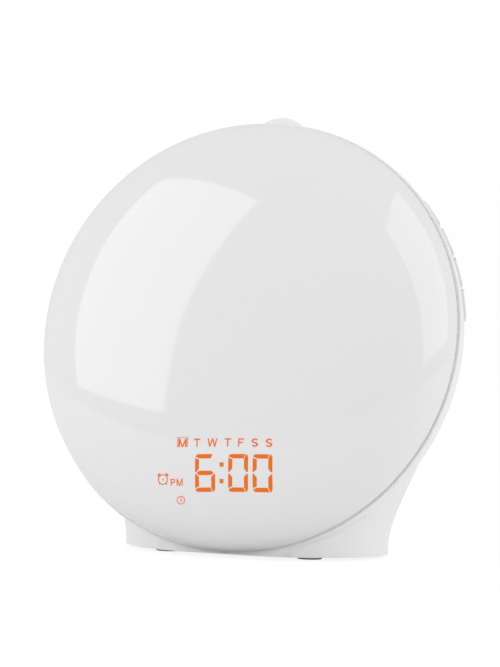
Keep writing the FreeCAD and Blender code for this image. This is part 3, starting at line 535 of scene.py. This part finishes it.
def smooth_copy(source, name, angle):
    """A copy of a CAD node, its facets merged and shaded smooth."""
    piece = source.copy()
    piece.data = source.data.copy()
    bpy.context.collection.objects.link(piece)
    piece.parent = None
    piece.matrix_world = Matrix.Identity(4)
    weld(piece)
    piece.name = name
    piece.data.name = name
    soften(piece, angle)
    return apply_modifier(piece, "WEIGHTED_NORMAL", keep_sharp=True, weight=NORMAL_WEIGHT)


# Lit legends

def stroke(start, end, width):
    """A straight stroke between two points, in millimetres."""
    along = Vector(end) - Vector(start)
    side = Vector((-along.y, along.x)).normalized() * width / 2
    corners = [Vector(start) + side, Vector(start) - side, Vector(end) - side, Vector(end) + side]
    return polygon([tuple(c) for c in corners])


def ring(x, y, radius, width):
    """A flat ring about (x, y), its width measured inwards, in millimetres."""
    bpy.ops.object.select_all(action="DESELECT")
    bpy.ops.mesh.primitive_circle_add(
        vertices=48, radius=radius * MM, fill_type="NGON", location=(x * MM, y * MM, 0)
    )
    circle = bpy.context.object
    bpy.ops.object.transform_apply(location=True)
    edit(circle)
    bpy.ops.mesh.inset(thickness=width * MM)
    bpy.ops.mesh.delete(type="FACE")
    return done(circle)


def wedge(x, y, inner, outer, middle, spread, squash=1.0):
    """A thick arc about (x, y), angles in degrees, widened by squash."""
    points = []
    steps = max(4, round(spread / 8))
    for radius, sign in ((inner, 1), (outer, -1)):
        for step in range(steps + 1):
            angle = math.radians(middle + sign * spread * (2 * step / steps - 1))
            points.append((x + squash * radius * math.cos(angle), y + radius * math.sin(angle)))
    return polygon(points)


def letter(text, x, y, height, weight):
    """A plain block letter drawn in strokes about its middle, in millimetres."""
    half = height / 2
    wide = LETTER_WIDTHS[text] * height / 2
    low, high = y - half, y + half
    left, right = x - wide, x + wide
    bar = weight / 2
    if text == "T":
        return [
            stroke((left, high - bar), (right, high - bar), weight),
            stroke((x, low), (x, high - weight), weight),
        ]
    if text == "M":
        posts = (left + bar, right - bar)
        return [stroke((at, low), (at, high), weight) for at in posts] + [
            stroke((at, high), (x, low), weight) for at in posts
        ]
    if text == "W":
        tops = (left + bar, x, x, right - bar)
        feet = (x - wide / 2, x - wide / 2, x + wide / 2, x + wide / 2)
        return [stroke((top, high), (foot, low), weight) for top, foot in zip(tops, feet)]
    if text == "F":
        return [
            stroke((left + bar, low), (left + bar, high), weight),
            stroke((left + weight, high - bar), (right, high - bar), weight),
            stroke((left + weight, y), (right - 0.15 * height, y), weight),
        ]
    if text == "P":
        bowl = (half + weight / 2) / 2
        centre = high - bowl
        turn = right - bowl
        return [
            stroke((left + bar, low), (left + bar, high), weight),
            stroke((left + weight, high - bar), (turn, high - bar), weight),
            stroke((left + weight, centre - bowl + bar), (turn, centre - bowl + bar), weight),
            wedge(turn, centre, bowl - weight, bowl, 0, 90),
        ]
    bowl = (height + weight) / 4
    squash = wide / bowl
    return [
        wedge(x, high - bowl, bowl - weight, bowl, 145, 125, squash),
        wedge(x, low + bowl, bowl - weight, bowl, -35, 125, squash),
    ]


def upside_down(shape):
    return [(x, -y) for x, y in shape[::-1]]


def segment_shapes(w):
    """The seven bars of a digit of half width w about its middle, in millimetres.

    The small numbers are the bars' cut corners and the gaps between them.
    """
    h = DIGIT_HALF_HEIGHT
    s = SEGMENT_WIDTH
    inner = w - s
    top = [
        (1 - w, h), (w - 1.25, h), (inner - 0.25, h - s), (0.1 - inner, h - s),
        (0.12 - w, h - 0.95), (0.3 - w, h - 0.45),
    ]
    upper_left = [(-w, h - 1.35), (-inner, h - s - 0.45), (-inner, s), (0.5 - w, 0.35), (-w, 0.35)]
    upper_right = [
        (w - 0.9, h), (w - 0.35, h - 0.3), (w, h - 1.1), (w, 0.35), (w - 0.5, 0.35),
        (inner, s), (inner, h - s - 0.15),
    ]
    half = s / 2
    middle = [
        (0.6 - w, 0), (0.1 - inner, half), (inner - 0.1, half), (w - 0.6, 0),
        (inner - 0.1, -half), (0.1 - inner, -half),
    ]
    return {
        "a": top, "b": upper_right, "c": upside_down(upper_right), "d": upside_down(top),
        "e": upside_down(upper_left), "f": upper_left, "g": middle,
    }


def digit(lit, x, y, half_width):
    shapes = segment_shapes(half_width)
    return [polygon([(x + px, y + py) for px, py in shapes[bar]]) for bar in lit]


def squashed(parts, y, share):
    """Scales drawn parts in height about the level y, in millimetres."""
    level = Matrix.Translation((0, y * MM, 0))
    for part in parts:
        part.data.transform(level @ Matrix.Diagonal((1, share, 1, 1)) @ level.inverted())
    return parts


def alarm_icon(x, y):
    """A round alarm clock with two bells and two feet."""
    parts = [ring(x, y, ALARM_RADIUS, ALARM_STROKE), ring(x, y, ALARM_HUB, ALARM_HUB_STROKE)]
    centre = Vector((x, y))
    for side in (-1, 1):
        parts.append(wedge(x, y, *ALARM_EAR, 90 - ALARM_EAR_ANGLE * side, ALARM_EAR_SPREAD))
        foot = math.radians(270 - ALARM_FOOT_ANGLE * side)
        out = Vector((math.cos(foot), math.sin(foot)))
        start, end = (centre + radius * out for radius in ALARM_FOOT)
        parts.append(stroke(start, end, ALARM_FOOT_STROKE))
    return squashed(parts, y, ALARM_SQUASH)


def clock_icon(x, y):
    """A round dial with two hands."""
    parts = [ring(x, y, CLOCK_RADIUS, CLOCK_STROKE)]
    parts.append(stroke((x, y - 0.1), (x, y + 1.15), CLOCK_STROKE))
    parts.append(stroke((x, y), (x + 0.5, y - 0.85), CLOCK_STROKE))
    return squashed(parts, y, CLOCK_SQUASH)


def weekday_row():
    """Initials of the days, the first in a hatched box as the day that is set."""
    parts = []
    for text, x in zip("MTWTFSS", WEEKDAY_PLACES):
        parts += letter(text, x, WEEKDAY_LEVEL, LETTER_HEIGHT, LETTER_WEIGHT)
    x = WEEKDAY_PLACES[0]
    low = WEEKDAY_LEVEL - LETTER_HEIGHT / 2
    high = low + DAY_BOX_HEIGHT
    for side in (-1, 1):
        for inset in (0, DAY_BOX_HATCH):
            edge = x + side * (DAY_BOX_HALF_WIDTH - inset)
            parts.append(stroke((edge, low), (edge, high), DAY_BOX_LINE))
    left, right = x - DAY_BOX_HALF_WIDTH, x + DAY_BOX_HALF_WIDTH
    parts.append(stroke((left, high), (right, high), DAY_BOX_TOP_LINE))
    return parts


def legends():
    parts = []
    for lit, x, half_width in zip(DIGITS_LIT, DIGIT_PLACES, DIGIT_HALF_WIDTHS):
        parts += digit(lit, x, DIGIT_LEVEL, half_width)
    for side in (-1, 1):
        y = DIGIT_LEVEL + side * COLON_RISE
        half = SEGMENT_WIDTH / 2
        parts.append(stroke((COLON_PLACE, y - half), (COLON_PLACE, y + half), SEGMENT_WIDTH))
    parts += weekday_row()
    parts += alarm_icon(*ALARM_PLACE)
    parts += clock_icon(*CLOCK_PLACE)
    for text, x in zip("PM", PM_PLACES):
        parts += letter(text, x, PM_LEVEL, PM_HEIGHT, PM_WEIGHT)
    return joined(parts)


def on_the_dome(flat, dome, lift, name):
    """Cuts a flat legend fine enough to follow the dome, lays it on and gives it depth."""
    edit(flat)
    for axis, first, last in CUT_RANGES:
        normal = Vector((0, 0, 0))
        normal[axis] = 1
        for place in range(first, last + 1, CUT_PITCH):
            bpy.ops.mesh.select_all(action="SELECT")
            bpy.ops.mesh.bisect(plane_co=place * MM * normal, plane_no=normal)
    bpy.ops.mesh.select_all(action="SELECT")
    bpy.ops.transform.translate(value=(0, 0, 2 * DOME_HEIGHT))
    done(flat)
    apply_modifier(
        flat, "SHRINKWRAP", target=dome, wrap_method="PROJECT", use_project_z=True,
        use_positive_direction=False, use_negative_direction=True,
        wrap_mode="ABOVE_SURFACE", offset=lift,
    )
    apply_modifier(flat, "SOLIDIFY", thickness=LEGEND_DEPTH, offset=-1.0)
    return settle(flat, name)


def lit_display(dome):
    """The lit legends and the pale glow round them."""
    drawn = legends()
    slant = Matrix.Identity(4)
    slant[0][1] = LEGEND_SLANT
    slant[1][0] = LEGEND_RISE
    pivot = Matrix.Translation((0, DIGIT_LEVEL * MM, 0))
    drawn.data.transform(pivot @ slant @ pivot.inverted())
    for face in drawn.data.polygons:
        if face.normal.z < 0:
            face.flip()
    drawn.data.update()
    glow = drawn.copy()
    glow.data = drawn.data.copy()
    bpy.context.collection.objects.link(glow)
    edit(glow)
    bpy.ops.mesh.inset(thickness=HALO_WIDTH, use_outset=True, use_boundary=True)
    done(glow)
    return (
        on_the_dome(drawn, dome, LEGEND_LIFT, "lit_legends"),
        on_the_dome(glow, dome, HALO_LIFT, "legend_glow"),
    )


# Lights, stage and camera

def aimed(azimuth, elevation, distance, roll):
    """Matrix that faces the seam's centre, azimuth from the front towards the right."""
    away = Vector((
        math.sin(azimuth) * math.cos(elevation),
        -math.cos(azimuth) * math.cos(elevation),
        math.sin(elevation),
    ))
    look = away.to_track_quat("Z", "Y").to_matrix().to_4x4()
    place = Matrix.Translation(SEAM_CENTRE + distance * away)
    return place @ look @ Matrix.Rotation(roll, 4, "Z")


def photo_camera():
    """The photo's camera, shifted so that the seam's centre falls on its pixel."""
    data = bpy.data.cameras.new("photo_camera")
    data.sensor_fit = "VERTICAL"
    data.sensor_height = SENSOR_HEIGHT
    data.lens = SENSOR_HEIGHT * FOCAL_PIXELS / IMAGE_HEIGHT
    data.shift_x = (IMAGE_WIDTH / 2 - TARGET_PIXEL[0]) / IMAGE_HEIGHT
    data.shift_y = (TARGET_PIXEL[1] - IMAGE_HEIGHT / 2) / IMAGE_HEIGHT
    data.clip_start, data.clip_end = CLIP_RANGE
    camera = bpy.data.objects.new("photo_camera", data)
    bpy.context.collection.objects.link(camera)
    camera.matrix_world = aimed(
        CAMERA_AZIMUTH, CAMERA_ELEVATION, CAMERA_DISTANCE, CAMERA_ROLL
    )
    bpy.context.scene.camera = camera


def softbox(name, azimuth, elevation, distance, size, power, roll):
    """Rectangular lamp that faces the clock, its angles in degrees."""
    data = bpy.data.lights.new(name, "AREA")
    data.shape = "RECTANGLE"
    data.size, data.size_y = size
    data.energy = power
    lamp = bpy.data.objects.new(name, data)
    bpy.context.collection.objects.link(lamp)
    lamp.matrix_world = aimed(
        math.radians(azimuth), math.radians(elevation), distance, math.radians(roll)
    )


def studio():
    """Softboxes and a white world, which is at full strength for the camera alone."""
    for settings in SOFTBOXES:
        softbox(*settings)
    world = bpy.data.worlds.new("studio")
    bpy.context.scene.world = world
    world.use_nodes = True
    tree = world.node_tree
    background = tree.nodes["Background"]
    path = tree.nodes.new("ShaderNodeLightPath")
    mix = tree.nodes.new("ShaderNodeMix")
    mix.inputs[2].default_value = WORLD_STRENGTH
    mix.inputs[3].default_value = 1.0
    tree.links.new(path.outputs["Is Camera Ray"], mix.inputs[0])
    tree.links.new(mix.outputs[0], background.inputs["Strength"])
    background.inputs["Color"].default_value = (1, 1, 1, 1)


def floor():
    """Pale floor that keeps the shadow and lets most of the white through to the camera."""
    bpy.ops.object.select_all(action="DESELECT")
    bpy.ops.mesh.primitive_plane_add(size=FLOOR_SIZE)
    plane = bpy.context.object
    plane.name = "floor"
    material = bpy.data.materials.new("floor_paper")
    material.use_nodes = True
    tree = material.node_tree
    shader = tree.nodes["Principled BSDF"]
    shader.inputs["Base Color"].default_value = grey(FLOOR_ALBEDO)
    shader.inputs["Roughness"].default_value = FLOOR_ROUGHNESS
    glow = tree.nodes.new("ShaderNodeEmission")
    glow.inputs["Strength"].default_value = FLOOR_GLOW
    path = tree.nodes.new("ShaderNodeLightPath")
    share = tree.nodes.new("ShaderNodeMath")
    share.operation = "MULTIPLY"
    share.inputs[1].default_value = FLOOR_GLOW_SHARE
    tree.links.new(path.outputs["Is Camera Ray"], share.inputs[0])
    mix = tree.nodes.new("ShaderNodeMixShader")
    tree.links.new(share.outputs[0], mix.inputs[0])
    tree.links.new(shader.outputs[0], mix.inputs[1])
    tree.links.new(glow.outputs[0], mix.inputs[2])
    tree.links.new(mix.outputs[0], tree.nodes["Material Output"].inputs["Surface"])
    plane.data.materials.append(material)


def dress_solids(nodes, finishes):
    """Each CAD node shows the finish of its own slot."""
    for piece in nodes.values():
        slot = piece.data.materials[0].name.split(".")[0]
        piece.data.materials.clear()
        piece.data.materials.append(finishes[slot])


def build(nodes, finishes):
    """Models the pieces in view, gives each its finish and body, and hides the CAD nodes they
    replace.
    """
    dome = opal_dome()
    lit, glow = lit_display(dome)
    soften(settle(dome, "opal_dome"), DOME_SMOOTH)
    dress(dome, "clock_body", "opal_diffuser", finishes, node="diffuser_dome")
    dress(lit, "clock_body", "amber_segment", finishes)
    dress(glow, "clock_body", "amber_segment", finishes, finish="halo")
    housing = smooth_copy(nodes["rear_housing"], "housing_shell", HOUSING_SMOOTH)
    dress(housing, "clock_body", "housing_plastic", finishes, node="rear_housing")
    dress(snooze_bar(), "snooze_key", "key_plastic", finishes, node="snooze_button")
    for side in ("right", "left"):
        for number in range(1, KEYS_PER_SIDE + 1):
            node = f"{side}_button_{number}"
            cap = smooth_copy(nodes[node], f"{side}_key_cap_{number}", SIDE_KEY_SMOOTH)
            dress(cap, f"{side}_key_{number}", "key_plastic", finishes, node=node)


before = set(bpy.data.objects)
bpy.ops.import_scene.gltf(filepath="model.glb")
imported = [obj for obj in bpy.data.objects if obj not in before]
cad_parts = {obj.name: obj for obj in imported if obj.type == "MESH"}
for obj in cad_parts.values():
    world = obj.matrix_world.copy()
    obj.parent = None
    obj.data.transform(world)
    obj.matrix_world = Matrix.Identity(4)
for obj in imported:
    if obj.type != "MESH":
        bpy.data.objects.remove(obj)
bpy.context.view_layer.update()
FINISHES = all_finishes()

dress_solids(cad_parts, FINISHES)
build(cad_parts, FINISHES)
photo_camera()
studio()
floor()
bpy.context.scene.view_settings.view_transform = "Standard"
